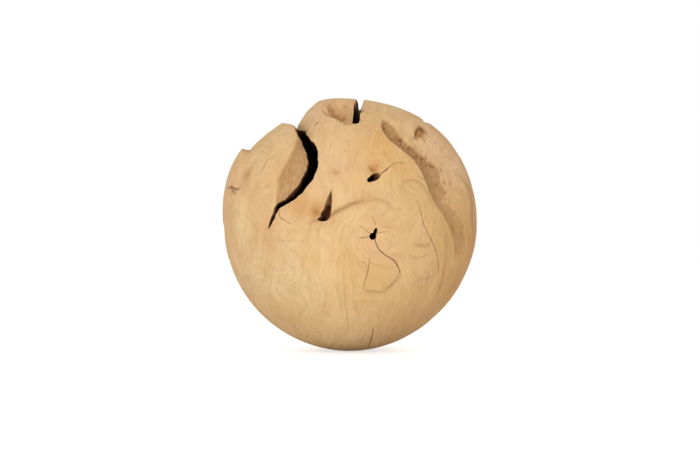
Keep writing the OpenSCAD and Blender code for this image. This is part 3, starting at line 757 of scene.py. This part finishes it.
def wood():
    """Pale sanded root wood: soft patches, rings, fibres, pores, and painted shade in its hollows, openings
    and cracks.
    """
    g = Graph("root_wood")
    place = g.node("VectorMath", {0: g.node("TexCoord", {}).outputs["Object"],
                                  1: (1 / MM,) * 3}, operation="MULTIPLY").outputs[0]
    ring, deep, painted_shade_and_lines = g.stored("ring"), g.stored("deep"), g.stored("painted_shade_and_lines")
    patch = g.noise(place, 0.022, 3.0)
    cloud = g.noise(place, 0.09, 3.0)
    waver = g.math("MULTIPLY", g.noise(place, 0.12, 2.0), 3.0)
    grain = g.math("ADD", ring, waver)

    # The figure: thin lines that follow the grain, wander and close around the burls
    shown = g.ramp(g.noise(place, 0.04, 2.0), 0.36, 0.62, 0.2, 1.0)
    broad = g.contours(g.noise(place, 0.022, 2.0, grain, 0.07), 9.0)
    fine = g.contours(g.noise(place, 0.035, 2.0, grain, 0.16), 9.0)
    lines = g.math("MULTIPLY", g.math("MAXIMUM", broad, g.math("MULTIPLY", fine, 0.6)), shown)
    band = g.noise(place, 0.03, 2.0, grain, 0.05)
    fibre = g.noise(place, 0.06, 4.0, grain, 0.4)
    pores = g.ramp(g.noise(place, 0.12, 2.0, grain, 1.2), 0.63, 0.72)

    tint = g.mix(g.ramp(patch, 0.35, 0.65), colour(229, 195, 146), colour(226, 187, 133))
    honey = g.math("MULTIPLY", g.stored("honey"), g.ramp(cloud, 0.3, 0.6, 0.45, 1.0))
    tint = g.mix(honey, tint, colour(228, 178, 112))
    tint = g.mix(g.math("MULTIPLY", g.stored("rosy"), 0.8), tint, colour(230, 188, 148))
    # Greyer tone on the left, and painted light that brightens the bottom
    tint = g.mix(g.math("MULTIPLY", g.stored("olive_and_bottom_light"), 0.8), tint, colour(228, 202, 156))
    # Brown tone, partly the wood's colour and partly painted shade in dents, pits and pockets
    tint = g.mix(g.math("MULTIPLY", g.stored("brown_and_shade"), 0.8), tint, colour(196, 138, 84))
    # Painted shade of the hollows, broken up along the grain
    streak = g.noise(place, 0.3, 3.0, grain, 0.6)
    shade = g.math("MULTIPLY", painted_shade_and_lines, g.ramp(streak, 0.3, 0.7, 0.6, 1.0))
    tint = g.mix(g.ramp(band, 0.35, 0.65, 0.0, 0.25), tint, colour(208, 160, 104))
    tint = g.mix(g.math("MULTIPLY", lines, 0.13), tint, colour(158, 112, 66))
    tint = g.mix(g.ramp(fibre, 0.4, 0.72, 0.0, 0.2), tint, colour(170, 124, 76))
    # Painted shade on the hollows' walls and in the pits, a deeper brown where it is strongest
    tint = g.mix(g.math("MULTIPLY", shade, 0.9), tint, colour(162, 113, 68))
    tint = g.mix(g.ramp(shade, 0.75, 1.2), tint, colour(104, 68, 42))
    tint = g.mix(g.math("MULTIPLY", pores, 0.3), tint, colour(150, 104, 62))
    # Painted shade at the bottom of cracks and creases, and brown lines along the strokes
    tint = g.mix(g.stored("groove_shade_and_lines"), tint, colour(122, 82, 48))
    # Inside the openings: the inner wood's brown at first, then painted shade to near black further in
    tint = g.mix(g.ramp(deep, 0.0, 1.0), tint, colour(118, 74, 46))
    tint = g.mix(g.ramp(deep, 1.0, 4.0), tint, colour(16, 9, 6))
    g.put(g.shader, "Base Color", tint)
    g.shader.inputs["Roughness"].default_value = 0.72
    g.shader.inputs["Specular IOR Level"].default_value = 0.05

    relief_height = g.math("ADD", g.math("MULTIPLY", lines, -0.1), g.math("MULTIPLY", fibre, 0.22))
    relief_height = g.math("ADD", relief_height, g.math("MULTIPLY", g.noise(place, 0.16, 3.0), 0.9))
    bump = g.node("Bump", {"Height": relief_height, "Distance": MM, "Strength": 0.6})
    g.put(g.shader, "Normal", bump.outputs["Normal"])
    return g.made


body.data.materials.clear()
body.data.materials.append(wood())
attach(body, "root")
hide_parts("wooden_ball")


def seen_as_white(g):
    """1 on rays that show the surroundings: from the camera, in gloss or through glass."""
    path = g.node("LightPath", {}).outputs
    gloss = g.math("MAXIMUM", path["Is Glossy Ray"], path["Is Transmission Ray"])
    return g.math("MAXIMUM", path["Is Camera Ray"], gloss)


def floor():
    """Pale floor, a little lifted to white where the camera sees it lit."""
    size = 4.0
    mesh = bpy.data.meshes.new("floor")
    mesh.from_pydata([(-size, -size, 0), (size, -size, 0), (size, size, 0), (-size, size, 0)],
                     [], [(0, 1, 2, 3)])
    thing = bpy.data.objects.new("floor", mesh)
    bpy.context.scene.collection.objects.link(thing)
    g = Graph("pale_floor")
    g.shader.inputs["Base Color"].default_value = (0.9, 0.9, 0.9, 1)
    g.shader.inputs["Roughness"].default_value = 0.9
    g.shader.inputs["Specular IOR Level"].default_value = 0.1
    lift = g.node("Emission", {"Strength": g.math("MULTIPLY", seen_as_white(g), 0.62)})
    both = g.node("AddShader", {0: g.shader.outputs[0], 1: lift.outputs[0]})
    g.links.new(both.outputs[0], g.nodes["Material Output"].inputs["Surface"])
    mesh.materials.append(g.made)


floor()


def backdrop():
    """White to the camera, plain grey light on everything else."""
    world = bpy.data.worlds.new("studio")
    bpy.context.scene.world = world
    world.use_nodes = True
    g = Graph("", world.node_tree)
    light = g.nodes["Background"]
    light.inputs["Color"].default_value = (1, 1, 1, 1)
    light.inputs["Strength"].default_value = 0.73
    white = g.node("Background", {"Color": (1, 1, 1, 1), "Strength": 1.0})
    mix = g.node("MixShader", {0: seen_as_white(g), 1: light.outputs[0], 2: white.outputs[0]})
    g.links.new(mix.outputs[0], g.nodes["World Output"].inputs["Surface"])


backdrop()


def lamp(name, place, power, width, height):
    data = bpy.data.lights.new(name, "AREA")
    data.energy = power
    data.shape = "RECTANGLE"
    data.size = width
    data.size_y = height
    thing = bpy.data.objects.new(name, data)
    bpy.context.scene.collection.objects.link(thing)
    thing.location = place
    aim_at = Vector((0, 0, BALL_R * MM)) - Vector(place)
    thing.rotation_euler = aim_at.to_track_quat("-Z", "Y").to_euler()


lamp("key", (-0.32, -1.45, 0.2), 8.1, 0.8, 0.34)

camera_data = bpy.data.cameras.new("camera")
camera = bpy.data.objects.new("camera", camera_data)
bpy.context.scene.collection.objects.link(camera)
camera.location = (0, -1.5, BALL_R * MM)
camera.rotation_euler = (math.pi / 2, 0, 0)
camera_data.lens = 96.98
camera_data.sensor_width = 36
bpy.context.scene.camera = camera
bpy.context.scene.view_settings.view_transform = "Standard"
